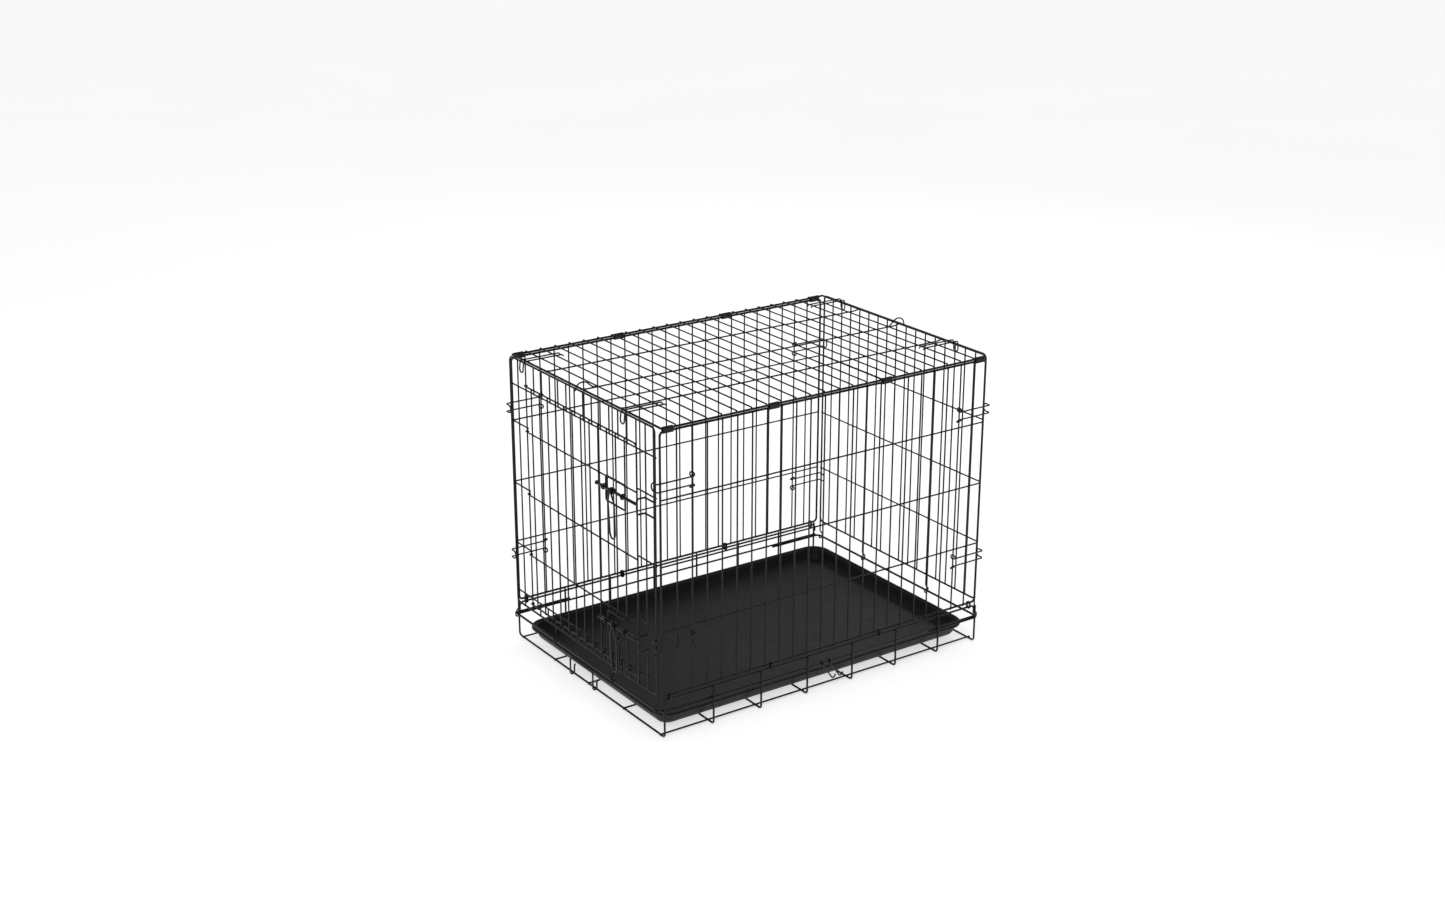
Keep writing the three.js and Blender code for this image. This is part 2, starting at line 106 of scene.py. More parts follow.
def at(point):
    """From millimetres about the panels' middle to metres in the row frame."""
    return Vector((point[0] * MM, (point[1] + MID_Y) * MM, point[2] * MM))


def along(n):
    return -HALF_LENGTH + n * PITCH


def across(n):
    return -END_HALF + n * END_PITCH


# ---- wire building ----------------------------------------------------------------------------
def fillet(points, radius, steps=5, closed=False):
    """The path with each corner rounded by a circular arc."""
    points = [Vector(p) for p in points]
    count = len(points)
    rounded = []
    for i, here in enumerate(points):
        if not closed and i in (0, count - 1):
            rounded.append(here)
            continue
        back = points[i - 1] - here
        ahead = points[(i + 1) % count] - here
        angle = back.angle(ahead)
        if angle > math.radians(176):
            rounded.append(here)
            continue
        reach = min(radius / math.tan(angle / 2), 0.49 * back.length, 0.49 * ahead.length)
        real = reach * math.tan(angle / 2)
        start = here + back.normalized() * reach
        end = here + ahead.normalized() * reach
        bisector = (back.normalized() + ahead.normalized()).normalized()
        centre = here + bisector * (real / math.sin(angle / 2))
        for k in range(steps + 1):
            part = start.lerp(end, k / steps) - centre
            rounded.append(centre + part.normalized() * real)
    return rounded


def circle(centre, right, up, radius, start, stop, steps=20):
    """Points on an arc, in degrees, in the plane of two directions."""
    centre, right, up = Vector(centre), Vector(right), Vector(up)
    points = []
    for k in range(steps + 1):
        angle = math.radians(start + (stop - start) * k / steps)
        points.append(centre + right * (radius * math.cos(angle)) + up * (radius * math.sin(angle)))
    return points


class Shape:
    """Gathers wires, welds and lofted skins into one mesh."""

    def __init__(self):
        self.verts = []
        self.faces = []

    def ring(self, centre, u, v, radius, sides):
        first = len(self.verts)
        for k in range(sides):
            angle = 2 * math.pi * k / sides
            self.verts.append(at(centre + u * (radius * math.cos(angle)) + v * (radius * math.sin(angle))))
        return list(range(first, first + sides))

    def bridge(self, a, b):
        for k in range(len(a)):
            n = (k + 1) % len(a)
            self.faces.append((a[k], a[n], b[n], b[k]))

    def cap(self, ring, centre, flip):
        self.verts.append(at(centre))
        tip = len(self.verts) - 1
        for k in range(len(ring)):
            n = (k + 1) % len(ring)
            self.faces.append((ring[n], ring[k], tip) if flip else (ring[k], ring[n], tip))

    def wire(self, path, radius, closed=False, sides=10):
        """A round wire swept along a path, with cropped ends that are slightly rounded over."""
        path = [Vector(p) for p in path]
        count = len(path)
        steps = []
        for i in range(count):
            before = path[i] - path[i - 1] if i or closed else path[1] - path[0]
            after = path[(i + 1) % count] - path[i] if i < count - 1 or closed else before
            steps.append((before.normalized() + after.normalized()).normalized())
        u = steps[0].orthogonal().normalized()
        frames = []
        for i, t in enumerate(steps):
            if i:
                u = steps[i - 1].rotation_difference(t) @ u
            u = (u - t * u.dot(t)).normalized()
            frames.append((u.copy(), t.cross(u)))
        rings = []
        if not closed:
            for back, scale in ((0.0, 0.5), (0.12, 0.83), (0.42, 1.0)):
                centre = path[0] + steps[0] * (radius * back)
                rings.append(self.ring(centre, *frames[0], radius * scale, sides))
            self.cap(rings[0], path[0], True)
        middle = range(count) if closed else range(1, count - 1)
        for i in middle:
            rings.append(self.ring(path[i], *frames[i], radius, sides))
        if not closed:
            for back, scale in ((0.42, 1.0), (0.12, 0.83), (0.0, 0.5)):
                centre = path[-1] - steps[-1] * (radius * back)
                rings.append(self.ring(centre, *frames[-1], radius * scale, sides))
            self.cap(rings[-1], path[-1], False)
        for a, b in zip(rings, rings[1:]):
            self.bridge(a, b)
        if closed:
            self.bridge(rings[-1], rings[0])

    def rod(self, axis, start, stop, centre, radius, sides=10):
        a = list(centre)
        b = list(centre)
        a[axis], b[axis] = start, stop
        self.wire([a, b], radius, sides=sides)

    def weld(self, point, normal_axis, radius=1.55):
        """The flattened bead where two wires are spot-welded."""
        spread = [radius * 1.2] * 3
        spread[normal_axis] = radius
        rings = []
        point = Vector(point)
        for lat in (-50, 0, 50):
            level = math.sin(math.radians(lat))
            size = math.cos(math.radians(lat))
            first = len(self.verts)
            for k in range(8):
                angle = math.pi * k / 4
                direction = (size * math.cos(angle), size * math.sin(angle), level)
                offset = Vector([part * reach for part, reach in zip(direction, spread)])
                self.verts.append(at(point + offset))
            rings.append(list(range(first, first + 8)))
        self.cap(rings[0], point - Vector((0, 0, spread[2])), True)
        self.cap(rings[-1], point + Vector((0, 0, spread[2])), False)
        for a, b in zip(rings, rings[1:]):
            self.bridge(a, b)

    def loft(self, sections, closed=False):
        """A skin through loops of points, each with the same number of points."""
        rings = []
        for section in sections:
            first = len(self.verts)
            self.verts.extend(at(p) for p in section)
            rings.append(list(range(first, first + len(section))))
        for a, b in zip(rings, rings[1:]):
            self.bridge(a, b)
        if closed:
            self.bridge(rings[-1], rings[0])
        return rings


def piece(name, shape, material, body, node, flat=False):
    mesh = bpy.data.meshes.new(name)
    mesh.from_pydata([tuple(v) for v in shape.verts], [], shape.faces)
    mesh.validate()
    if not flat:
        mesh.shade_smooth()
    mesh.materials.append(material)
    obj = bpy.data.objects.new(name, mesh)
    bpy.context.scene.collection.objects.link(obj)
    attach(obj, body)
    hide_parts(node)
    return obj


# ---- materials --------------------------------------------------------------------------------
def node_tree(name):
    material = bpy.data.materials.new(name)
    material.use_nodes = True
    nodes = material.node_tree.nodes
    return material, nodes, material.node_tree.links, nodes["Principled BSDF"]


def noise(nodes, links, coords, scale, detail=3.0, rough=0.55):
    node = nodes.new("ShaderNodeTexNoise")
    node.inputs["Scale"].default_value = scale
    node.inputs["Detail"].default_value = detail
    node.inputs["Roughness"].default_value = rough
    links.new(coords.outputs["Object"], node.inputs["Vector"])
    return node


def ramp(nodes, links, source, low, high, dark, light):
    node = nodes.new("ShaderNodeValToRGB")
    node.color_ramp.elements[0].position = low
    node.color_ramp.elements[1].position = high
    node.color_ramp.elements[0].color = dark
    node.color_ramp.elements[1].color = light
    links.new(source, node.inputs["Fac"])
    return node


def grey(value):
    return (value, value, value * 1.03, 1)


def coated_wire(name, base, scuff, rough_low, rough_high, coat):
    """Black dip coating: faint orange peel, patchy sheen, and a few dull rubbed spots."""
    material, nodes, links, shader = node_tree(name)
    coords = nodes.new("ShaderNodeTexCoord")
    patches = noise(nodes, links, coords, 38, 4)
    fine = noise(nodes, links, coords, 900, 3)
    peel = noise(nodes, links, coords, 330, 2)
    spots = noise(nodes, links, coords, 150, 5, 0.7)
    tone = ramp(nodes, links, patches.outputs["Fac"], 0.35, 0.7, grey(base * 0.75), grey(base * 1.25))
    rubbed = ramp(nodes, links, spots.outputs["Fac"], 0.64, 0.74, (0, 0, 0, 1), (1, 1, 1, 1))
    mix = nodes.new("ShaderNodeMix")
    mix.data_type = "RGBA"
    links.new(rubbed.outputs["Color"], mix.inputs["Factor"])
    links.new(tone.outputs["Color"], mix.inputs[6])
    mix.inputs[7].default_value = grey(scuff)
    links.new(mix.outputs[2], shader.inputs["Base Color"])
    sheen = nodes.new("ShaderNodeMapRange")
    sheen.inputs["To Min"].default_value = rough_low
    sheen.inputs["To Max"].default_value = rough_high
    links.new(patches.outputs["Fac"], sheen.inputs["Value"])
    dull = nodes.new("ShaderNodeMath")
    dull.operation = "MULTIPLY_ADD"
    dull.inputs[1].default_value = 0.18
    links.new(rubbed.outputs["Color"], dull.inputs[0])
    links.new(sheen.outputs["Result"], dull.inputs[2])
    links.new(dull.outputs["Value"], shader.inputs["Roughness"])
    relief = nodes.new("ShaderNodeMath")
    relief.operation = "MULTIPLY_ADD"
    relief.inputs[1].default_value = 0.35
    links.new(fine.outputs["Fac"], relief.inputs[0])
    links.new(peel.outputs["Fac"], relief.inputs[2])
    bump = nodes.new("ShaderNodeBump")
    bump.inputs["Strength"].default_value = 0.28
    bump.inputs["Distance"].default_value = 0.0003
    links.new(relief.outputs["Value"], bump.inputs["Height"])
    links.new(bump.outputs["Normal"], shader.inputs["Normal"])
    shader.inputs["Metallic"].default_value = 0.0
    shader.inputs["Specular IOR Level"].default_value = 0.22
    shader.inputs["Coat Weight"].default_value = coat
    shader.inputs["Coat Roughness"].default_value = 0.22
    return material


def moulded_plastic(name):
    """Black moulded plastic with a fine leather-like grain and soft flow marks."""
    material, nodes, links, shader = node_tree(name)
    coords = nodes.new("ShaderNodeTexCoord")
    flow = noise(nodes, links, coords, 7, 3)
    cloud = noise(nodes, links, coords, 60, 4)
    grain = nodes.new("ShaderNodeTexVoronoi")
    grain.feature = "SMOOTH_F1"
    grain.inputs["Scale"].default_value = 620
    links.new(coords.outputs["Object"], grain.inputs["Vector"])
    fine = noise(nodes, links, coords, 1500, 2)
    scuffs = noise(nodes, links, coords, 95, 6, 0.75)
    tone = ramp(nodes, links, flow.outputs["Fac"], 0.3, 0.75, grey(0.006), grey(0.0095))
    worn = ramp(nodes, links, scuffs.outputs["Fac"], 0.62, 0.78, (0, 0, 0, 1), (0.5, 0.5, 0.5, 1))
    mix = nodes.new("ShaderNodeMix")
    mix.data_type = "RGBA"
    links.new(worn.outputs["Color"], mix.inputs["Factor"])
    links.new(tone.outputs["Color"], mix.inputs[6])
    mix.inputs[7].default_value = grey(0.016)
    links.new(mix.outputs[2], shader.inputs["Base Color"])
    sheen = nodes.new("ShaderNodeMapRange")
    sheen.inputs["To Min"].default_value = 0.4
    sheen.inputs["To Max"].default_value = 0.56
    links.new(cloud.outputs["Fac"], sheen.inputs["Value"])
    links.new(sheen.outputs["Result"], shader.inputs["Roughness"])
    relief = nodes.new("ShaderNodeMath")
    relief.operation = "MULTIPLY_ADD"
    relief.inputs[1].default_value = 0.3
    links.new(fine.outputs["Fac"], relief.inputs[0])
    links.new(grain.outputs["Distance"], relief.inputs[2])
    bump = nodes.new("ShaderNodeBump")
    bump.inputs["Strength"].default_value = 0.3
    bump.inputs["Distance"].default_value = 0.0004
    links.new(relief.outputs["Value"], bump.inputs["Height"])
    links.new(bump.outputs["Normal"], shader.inputs["Normal"])
    shader.inputs["Specular IOR Level"].default_value = 0.25
    return material


wire_coat = coated_wire("wire_coat", 0.0035, 0.012, 0.3, 0.46, 0.06)
frame_coat = coated_wire("frame_coat", 0.0035, 0.014, 0.28, 0.44, 0.08)
spring_wire = coated_wire("spring_wire", 0.0045, 0.018, 0.24, 0.38, 0.1)
sleeve_steel = coated_wire("sleeve_steel", 0.005, 0.018, 0.36, 0.5, 0.05)
pan_plastic = moulded_plastic("pan_plastic")


# ---- long side panels and top panel -----------------------------------------------------------
CORNER_R = 8.0

for side_name, side in SIDES.items():
    panel = Shape()
    x = side * PIVOT_X
    low, high = SIDE_Z
    outline = [(x, -HALF_LENGTH, low), (x, HALF_LENGTH, low), (x, HALF_LENGTH, high), (x, -HALF_LENGTH, high)]
    panel.wire(fillet(outline, CORNER_R, closed=True), EDGE_R, closed=True, sides=12)
    for z in SIDE_LEVELS:
        panel.rod(1, -HALF_LENGTH, HALF_LENGTH, (side * (FIELD_X - 2.65), 0, z), FIELD_R)
    for n in range(1, LAST_WIRE):
        y = along(n)
        panel.rod(2, low - 1.2, high + 1.2, (side * FIELD_X, y, 0), FIELD_R)
        for z in SIDE_LEVELS + [low, high]:
            panel.weld((side * (FIELD_X - 1.5), y, z), 0)
    piece(f"{side_name}_side_wires", panel, wire_coat, f"{side_name}_side", f"{side_name}_side_panel")

top = Shape()
outline = []
for cx, cy, start in ((1, 1, 0), (-1, 1, 90), (-1, -1, 180), (1, -1, 270)):
    for k in range(7):
        angle = start + 15 * k
        turn = math.radians(angle)
        px = cx * (PIVOT_X - CORNER_R) + CORNER_R * math.cos(turn)
        py = cy * (HALF_LENGTH - CORNER_R) + CORNER_R * math.sin(turn)
        lift = 0.5 - 0.5 * math.cos(math.pi * (k / 6 if start in (0, 180) else 1 - k / 6))
        outline.append((px, py, TOP_Z + 3.3 * lift))
top.wire(outline, EDGE_R - 0.05, closed=True, sides=12)
for x in (-PIVOT_X / 2, 0, PIVOT_X / 2):
    ends = [(x, -HALF_LENGTH, TOP_FIELD_Z - 0.6), (x, -HALF_LENGTH + 12, TOP_FIELD_Z - 2.65)]
    ends += [(px, -py, pz) for px, py, pz in reversed(ends)]
    top.wire(fillet(ends, 10), FIELD_R)
for n in range(1, LAST_WIRE):
    y = along(n)
    top.rod(0, -PIVOT_X - 1.2, PIVOT_X + 1.2, (0, y, TOP_FIELD_Z), FIELD_R)
    for x in (-PIVOT_X, -PIVOT_X / 2, 0, PIVOT_X / 2, PIVOT_X):
        top.weld((x, y, TOP_FIELD_Z - 1.5), 2)
piece("top_wires", top, wire_coat, "top", "top_panel")


# ---- end panels -------------------------------------------------------------------------------
def rail_hook(shape, end, x, rail_z):
    path = [(2.2, 45), (2.2, 13), (-4.6, 4.2), (-4.6, -3.2), (-0.6, -5.1), (3.6, -4.4), (4.6, 0.4)]
    points = [(x, end * (RAIL_Y - inward), rail_z + up) for inward, up in path]
    shape.wire(fillet(points, 3.4, 4), FIELD_R)


def end_panel(end, rail_z, levels, opening):
    panel = Shape()
    y = end * END_Y
    inner = end * (END_Y - 2.6)
    low, high = END_Z
    outline = [(-END_HALF, y, low), (END_HALF, y, low), (END_HALF, y, high), (-END_HALF, y, high)]
    panel.wire(fillet(outline, 9, closed=True), 1.95, closed=True, sides=12)
    for n in range(1, 17):
        spans = [(low, high)]
        if opening and 2 < n < 15:
            spans = [(low, OPENING_Z[0]), (OPENING_Z[1], high)]
        for a, b in spans:
            panel.rod(2, a, b + (0.9 if b == OPENING_Z[0] else 0), (across(n), y, 0), FIELD_R)
    for z in levels:
        spans = [(-END_HALF, END_HALF)]
        if opening and z in MID_LEVELS:
            spans = [(-END_HALF, across(2)), (across(15), END_HALF)]
        for a, b in spans:
            panel.rod(0, a - 0.8, b + 0.8, (0, inner, z), FIELD_R)
            for n in range(18):
                if a - 1 < across(n) < b + 1:
                    panel.weld((across(n), end * (END_Y - 1.4), z), 1)
    for n in (0, 5, 12, 17):
        rail_hook(panel, end, across(n), rail_z)
    return panel


front = end_panel(-1, RAIL_Z["front"], [OPENING_Z[0], *MID_LEVELS, OPENING_Z[1]], True)
for z in LATCH_Z.values():
    face = -END_Y - 2.75
    out = front_lo[1] - MID_Y + 1.3
    staple = [
        (KEEPER_X[1], face, z + KEEPER_HALF), (KEEPER_X[0], face, z + KEEPER_HALF),
        (KEEPER_X[0], out, z + KEEPER_HALF), (KEEPER_X[0], out, z - KEEPER_HALF),
        (KEEPER_X[0], face, z - KEEPER_HALF), (KEEPER_X[1], face, z - KEEPER_HALF),
    ]
    front.wire(fillet(staple, 4.5), LATCH_R)
    for level in (z + KEEPER_HALF, z - KEEPER_HALF):
        front.weld((across(16), face + 1.2, level), 1)
        front.weld((across(17) - 1, face + 1.2, level), 1)
piece("front_wires", front, wire_coat, "front_panel", "front_panel")
back = end_panel(1, RAIL_Z["back"], MID_LEVELS, False)
piece("back_wires", back, wire_coat, "back_panel", "back_panel")

# ---- door -------------------------------------------------------------------------------------
door = Shape()
DOOR_Y = -END_Y - 3.2
DOOR_LEVELS = [door_lo[2] + 1.5, 211.0, 340.0, 471.0, door_hi[2] - 1.5]
hinge_x = across(2)
right_x = door_hi[0] - 2
low, high = DOOR_LEVELS[0], DOOR_LEVELS[-1]
rim = [(hinge_x, DOOR_Y, low), (right_x, DOOR_Y, low), (right_x, DOOR_Y, high), (hinge_x, DOOR_Y, high)]
door.wire(fillet(rim, 9), 1.7, sides=12)
for z in DOOR_LEVELS[1:-1]:
    door.rod(0, hinge_x, right_x, (0, DOOR_Y, z), FIELD_R)
for z in DOOR_LEVELS:
    loop = circle((hinge_x, -END_Y, z), (0, -1, 0), (1, 0, 0), 2.8, -300, 0)
    door.wire([*loop, (hinge_x + 3, -END_Y - 2.85, z)], 1.3)
for n in range(3, 15):
    door.rod(2, low - 1.2, high + 1.2, (across(n), DOOR_Y - 2.6, 0), FIELD_R)
    for z in DOOR_LEVELS:
        door.weld((across(n), DOOR_Y - 1.4, z), 1)
for z in LATCH_Z.values():
    y = DOOR_Y - 5.2
    left, right = BRACKET_X
    below, above = (z + reach for reach in BRACKET_REACH)
    plate = [(left, y, below), (right, y, below), (right, y, above), (left, y, above)]
    door.wire(fillet(plate, 5, closed=True), LATCH_R, closed=True)
    for x in BRACKET_X:
        door.wire(circle((x, ROD_Y, z), (0, 1, 0), (0, 0, 1), 4.7, 0, 342), 1.6, closed=True)
        door.weld((x, y - 0.6, z), 1, 1.7)
    for n in (12, 13, 14):
        for level in (below, above):
            door.weld((across(n), y + 1.2, level), 1)
piece("door_wires", door, wire_coat, "door", "door")

# ---- slide bolts and their handles ------------------------------------------------------------
for level, z in LATCH_Z.items():
    bolt_lo, bolt_hi = box(f"{level}_bolt")
    bolt = Shape()
    tip = [(bolt_lo[0] + 2, ROD_Y, z), (bolt_hi[0] - 2.2, ROD_Y, z)]
    bolt.wire(tip, ROD_R, sides=16)
    bolt.wire([(bolt_hi[0] - 6, ROD_Y, z), (bolt_hi[0], ROD_Y, z)], 1.7, sides=16)
    knob = [(0.3, 1.6), (0.9, 2.9), (2.2, 3.9), (4.0, 4.2), (5.8, 3.8), (7.0, 2.9), (7.8, 2.4)]
    sections = []
    for reach, radius in knob:
        sections.append(circle((bolt_lo[0] + reach, ROD_Y, z), (0, 1, 0), (0, 0, 1), radius, 0, 345, 23))
    rings = bolt.loft(sections)
    bolt.cap(rings[0], (bolt_lo[0], ROD_Y, z), True)
    piece(f"{level}_bolt_rod", bolt, spring_wire, f"{level}_bolt", f"{level}_bolt")

    handle = Shape()
    left = circle((HANDLE_X - 2.2, ROD_Y, z), (0, 1, 0), (0, 0, 1), 4.8, -110, 180, 18)
    right = [(2 * HANDLE_X - p.x, p.y, p.z) for p in reversed(left)]
    bottom = z - 94.8
    legs = [
        (HANDLE_X - 3.4, ROD_Y - 3.9, z - 4), (HANDLE_X - 10.6, ROD_Y - 2.2, z - 22),
        (HANDLE_X - 9.0, ROD_Y, bottom + 9), (HANDLE_X - 5.0, ROD_Y, bottom + 1.5),
        (HANDLE_X, ROD_Y, bottom),
    ]
    legs = legs + [(2 * HANDLE_X - px, py, pz) for px, py, pz in reversed(legs[:-1])]
    handle.wire([*left, *fillet(legs, 9, 6), *right], LATCH_R, sides=12)
    piece(f"{level}_handle_wire", handle, spring_wire, f"{level}_bolt_handle", f"{level}_bolt_handle")


# ---- clips and hooks --------------------------------------------------------------------------
def corner_clip(side, end, z):
    """One spring wire: an eye on a side wire, a leg, a rounded end round the corner, a leg, an eye."""
    shape = Shape()
    tilt = math.radians(48)
    ring_y = end * -along(2)
    half = []
    for up in (1, -1):
        centre = (side * FIELD_X, ring_y, z + up * 11.2)
        across_ring = (side * math.cos(tilt), 0, -up * math.sin(tilt))
        eye = circle(centre, across_ring, (0, end, 0), 4.6, -320, 0, 22)
        leg_x = side * (FIELD_X + 4.6 * math.cos(tilt))
        leg_z = z + up * (11.2 - 4.6 * math.sin(tilt))
        bend = [eye[-1], (leg_x, end * (END_Y + 4.6), leg_z), (side * 262, end * (END_Y + 4.6), leg_z)]
        half.append([*eye[:-1], *fillet(bend, 4, 6)])
    close = circle((side * 262, end * (END_Y + 4.6), z), (0, 0, 1), (-side, 0, 0), 7.78, 12, 168, 12)
    shape.wire([*half[0], *close, *reversed(half[1])], CLIP_R)
    return shape


def top_clip(end, x):
    """Two legs lie on the top panel, run out over its end wire and close in a loop outside the end panel."""
    shape = Shape()
    lying = TOP_FIELD_Z + 3.1
    run = [(301, lying - 3.6), (305, lying), (END_Y + 4.6, lying), (END_Y + 6.2, 597.4)]
    leg = fillet([(x - 6.5, end * y, z) for y, z in run], 5)
    loop = circle((x, end * (END_Y + 6.2), 597.4), (-1, 0, 0), (0, 0, -1), 6.5, 12, 168, 10)
    other = [(2 * x - p.x, p.y, p.z) for p in reversed(leg)]
    shape.wire([*leg, *loop, *other], CLIP_R)
    return shape


def centre_hook(end):
    shape = Shape()
    arch = [
        (348, 608.9), (354, 609.6), (360, 614.2), (366, 620),
        (374, 623), (383, 622), (389.5, 617), (392.4, 608),
    ]
    shape.wire(fillet([(0, end * y, z) for y, z in arch], 6), CLIP_R)
    return shape


for end_name, end in ENDS.items():
    for side_name, side in SIDES.items():
        for level, z in CLIP_Z.items():
            name = f"{end_name}_{side_name}_{level}_clip"
            piece(f"{name}_wire", corner_clip(side, end, z), spring_wire, name, name)
    for n in (1, 2):
        node = f"{end_name}_top_clip_{n}"
        clip_lo, clip_hi = box(node)
        x = (clip_lo[0] + clip_hi[0]) / 2
        piece(f"{node}_wire", top_clip(end, x), spring_wire, "top", node)
    piece(f"{end_name}_centre_hook_wire", centre_hook(end), spring_wire, "top", f"{end_name}_centre_hook")


# ---- hinge sleeves ----------------------------------------------------------------------------
def sleeve(node):
    """A steel strip folded round two wires, with its seam on the inner face."""
    lo, hi = box(node)
    side = 1 if lo[0] > 0 else -1
    inner_x = lo[0] if side > 0 else hi[0]
    outer_x = hi[0] if side > 0 else lo[0]
    middle = (lo[2] + hi[2]) / 2

    def outline(shrink, radius):
        x0, x1 = inner_x + side * shrink, outer_x - side * shrink
        z0, z1 = lo[2] + shrink, hi[2] - shrink
        loop = [
            (x0, 0, middle - SEAM_HALF), (x0, 0, z0), (x1, 0, z0),
            (x1, 0, z1), (x0, 0, z1), (x0, 0, middle + SEAM_HALF),
        ]
        return fillet(loop, radius, 5)

    sections = []
    narrow = 2.0 if "base" in node else 0.0
    y0, y1 = lo[1] - MID_Y + narrow, hi[1] - MID_Y - narrow
    for y, trim in ((y0, 0.28), (y0 + 0.3, 0), (y1 - 0.3, 0), (y1, 0.28)):
        outer = outline(trim, 2.6 - trim)
        inner = outline(SLEEVE_WALL - trim, 1.5 + trim)
        loop = outer + inner[::-1]
        sections.append([(p.x, y, p.z) for p in loop])
    shape = Shape()
    rings = shape.loft(sections)
    half = len(rings[0]) // 2
    for ring, flip in ((rings[0], False), (rings[-1], True)):
        for k in range(half - 1):
            quad = (ring[k], ring[k + 1], ring[-2 - k], ring[-1 - k])
            shape.faces.append(quad[::-1] if flip else quad)
    return shape


for side_name in SIDES:
    for n in range(1, 5):
        for place, body in (("top", f"{side_name}_side"), ("base", "base")):
            node = f"{side_name}_{place}_sleeve_{n}"
            piece(f"{node}_strip", sleeve(node), sleeve_steel, body, node, flat=True)

# ---- base frame -------------------------------------------------------------------------------
base = Shape()
BASE_Y = [-378 + k * 109.6 for k in range(7)] + [377.0]
FRONT_WIRE_Z = 5.8
LONG_Z, LOW_Z = 79.0, 55.0
for k, y in enumerate(BASE_Y):
    z = FRONT_WIRE_Z if k == 0 else 2.0
    u_wire = [(-UPRIGHT_X, y, 81), (-UPRIGHT_X, y, z), (UPRIGHT_X, y, z), (UPRIGHT_X, y, 81)]
    base.wire(fillet(u_wire, 6.5, 7), 2.0, sides=12)
    for side in (-1, 1):
        for level in (LONG_Z, LOW_Z):
            base.weld((side * (UPRIGHT_X - 1.9), y, level), 0, 1.9)
for x in (-258, -129, 0, 129, 258):
    base.rod(1, BASE_Y[0], 379, (x, 0, 5.6), 1.8, sides=12)
    for y in BASE_Y:
        base.weld((x, y, 4), 2, 1.8)
for side in (-1, 1):
    x = side * RAIL_X
    rail = [(x, -378, LONG_Z - 17), (x, -378, LONG_Z), (x, 377, LONG_Z), (x, 377, LONG_Z - 17)]
    base.wire(fillet(rail, 8, 6), 2.05, sides=12)
    base.rod(1, -380, 379, (x, 0, LOW_Z), 2.0, sides=12)
for end_name, end in ENDS.items():
    z = RAIL_Z[end_name]
    y = end * RAIL_Y
    back_y = end * (RAIL_Y - 128)
    u_rail = [(-RAIL_X, back_y, z), (-RAIL_X, y, z), (RAIL_X, y, z), (RAIL_X, back_y, z)]
    base.wire(fillet(u_rail, 9, 7), 2.3, sides=12)
piece("base_wires", base, frame_coat, "base", "base_frame")

# ---- pan --------------------------------------------------------------------------------------
pan = Shape()
half_width = (pan_hi[0] - pan_lo[0]) / 2
half_length = (pan_hi[1] - pan_lo[1]) / 2
bottom, brim = pan_lo[2], pan_hi[2]


def pan_loop(inset, z):
    """A rounded rectangle, inset from the pan's outline."""
    radius = max(38 - inset, 12)
    points = []
    for cx, cy, start in ((1, 1, 0), (-1, 1, 90), (-1, -1, 180), (1, -1, 270)):
        centre = (cx * (half_width - inset - radius), cy * (half_length - inset - radius), z)
        points += circle(centre, (1, 0, 0), (0, 1, 0), radius, start, start + 90, 9)
    return points


pan_profile = [
    (27.0, bottom), (22.6, bottom + 0.6), (18.4, bottom + 3.1), (14.8, bottom + 7.0), (12.6, bottom + 12),
    (8.4, brim - 8), (7.2, brim - 5.2), (5.2, brim - 4.6), (2.6, brim - 4.4), (2.2, brim - 5.6),
    (0.7, brim - 5.8),
    (0.0, brim - 4.6), (0.1, brim - 2.2), (0.8, brim - 0.8), (2.4, brim - 0.1), (4.2, brim - 0.1),
    (5.6, brim - 0.9), (6.4, brim - 2.0), (7.4, brim - 2.7), (9.0, brim - 3.0), (10.2, brim - 4.2),
    (11.4, brim - 8), (14.4, bottom + 14), (16.6, bottom + 9.4), (20.2, bottom + 5.6), (24.6, bottom + 3.2),
    (29.0, bottom + 2.8), (60, bottom + 2.7),
]
rings = pan.loft([pan_loop(inset, z) for inset, z in pan_profile])
pan.faces.append(tuple(rings[-1]))
pan.faces.append(tuple(reversed(rings[0])))
piece("pan_shell", pan, pan_plastic, "pan", "pan")

# ---- pan stop and fold hooks ------------------------------------------------------------------
stop = Shape()
wire_y, wire_z = BASE_Y[0], FRONT_WIRE_Z
profile = [
    (wire_y + 6.2, wire_z + 16), (wire_y + 4.4, wire_z + 9), (wire_y + 4.4, wire_z - 1.6),
    (wire_y + 1.6, wire_z - 4.2), (wire_y - 1.6, wire_z - 4.2), (wire_y - 4.4, wire_z - 1.6),
    (wire_y - 4.4, STOP_BAR_Z),
]
hooks = []
for x in STOP_LEGS_X:
    hooks.append([(x, y, z) for y, z in profile])
stop.wire(fillet([*hooks[0], *reversed(hooks[1])], 4.2, 6), STOP_R)
piece("pan_stop_wire", stop, spring_wire, "pan_stop", "pan_stop")

for n, y in ((1, -11.0), (2, 7.0)):
    hook = Shape()
    eye = circle((RAIL_X, y, LOW_Z), (1, 0, 0), (0, 0, -1), 3.8, -320, 0, 20)
    end = y + 34
    tail = [
        eye[-1], (RAIL_X + 2.6, y + 1.5, LOW_Z - 6), (RAIL_X, end - 14, 25), (RAIL_X, end - 8, 16.4),
        (RAIL_X, end - 3, 17.6), (RAIL_X, end, 23),
    ]
    hook.wire([*eye[:-1], *fillet(tail, 4.5, 5)], CLIP_R)
    piece(f"fold_hook_{n}_wire", hook, spring_wire, f"fold_hook_{n}", f"fold_hook_{n}")

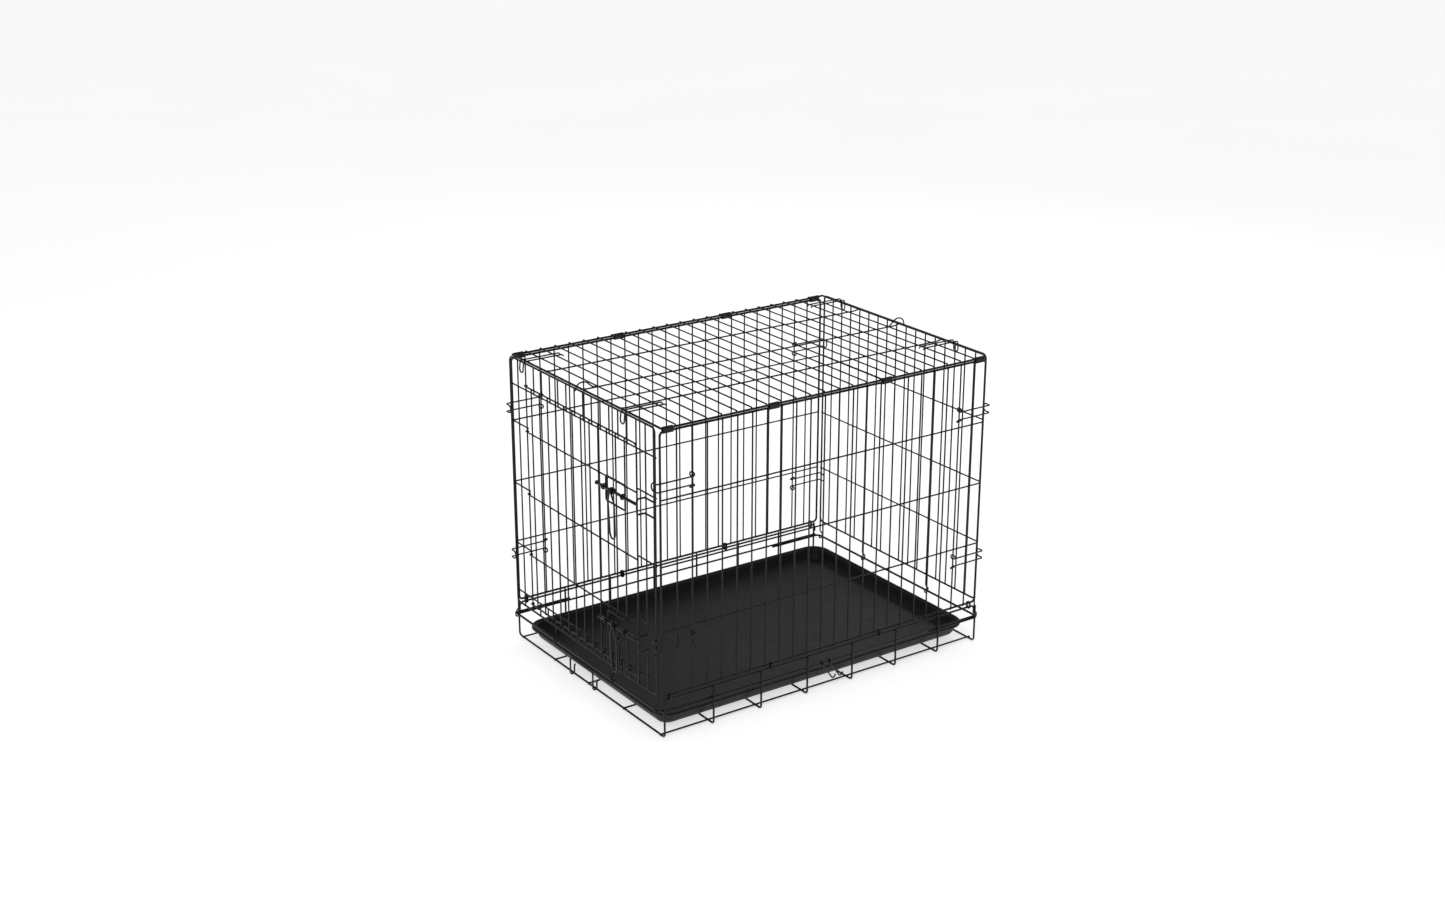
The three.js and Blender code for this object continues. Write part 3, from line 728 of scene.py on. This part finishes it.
# ---- floor, light and camera ------------------------------------------------------------------
floor_mesh = bpy.data.meshes.new("floor")
floor_half = 30
floor_corners = [
    (-floor_half, -floor_half, 0), (floor_half, -floor_half, 0),
    (floor_half, floor_half, 0), (-floor_half, floor_half, 0),
]
floor_mesh.from_pydata(floor_corners, [], [(0, 1, 2, 3)])
floor_paint, nodes, links, shader = node_tree("floor_paint")
coords = nodes.new("ShaderNodeTexCoord")
mottle = noise(nodes, links, coords, 1.5, 2)
tint = ramp(nodes, links, mottle.outputs["Fac"], 0.3, 0.7, (0.93, 0.93, 0.93, 1), (0.95, 0.95, 0.95, 1))
links.new(tint.outputs["Color"], shader.inputs["Base Color"])
shader.inputs["Roughness"].default_value = 0.9
shader.inputs["Specular IOR Level"].default_value = 0.1
shader.inputs["Emission Color"].default_value = (1, 1, 1, 1)
shader.inputs["Emission Strength"].default_value = 0.62
floor_mesh.materials.append(floor_paint)
floor = bpy.data.objects.new("floor", floor_mesh)
bpy.context.scene.collection.objects.link(floor)

world = bpy.data.worlds.new("studio")
world.use_nodes = True
world.node_tree.nodes["Background"].inputs["Color"].default_value = (1, 1, 1, 1)
world.node_tree.nodes["Background"].inputs["Strength"].default_value = 0.34
bpy.context.scene.world = world
bpy.context.scene.view_settings.view_transform = "Standard"


def soft_light(name, location, target, size, power):
    data = bpy.data.lights.new(name, "AREA")
    data.shape = "RECTANGLE"
    data.size = size[0]
    data.size_y = size[1]
    data.energy = power
    light = bpy.data.objects.new(name, data)
    light.location = location
    light.rotation_euler = (Vector(target) - Vector(location)).to_track_quat("-Z", "Y").to_euler()
    bpy.context.scene.collection.objects.link(light)


soft_light("key_light", (1.8, -2.6, 3.2), (0, 0, 0.3), (2.2, 1.6), 24)
soft_light("back_light", (-1.6, 2.4, 2.4), (0, 0, 0.3), (2.0, 1.2), 16)

lens = bpy.data.cameras.new("photo_camera")
lens.sensor_fit = "HORIZONTAL"
lens.sensor_width = 36
lens.lens = 50.6
lens.clip_end = 100
camera = bpy.data.objects.new("photo_camera", lens)
camera.location = at((3085.2, -2200.7, 1782.0))
forward = Vector((-0.7725, 0.5358, -0.3409))
facing = forward.to_track_quat("-Z", "Y").to_matrix() @ Matrix.Rotation(math.radians(0.11), 3, "Z")
camera.rotation_euler = facing.to_euler()
bpy.context.scene.collection.objects.link(camera)
bpy.context.scene.camera = camera
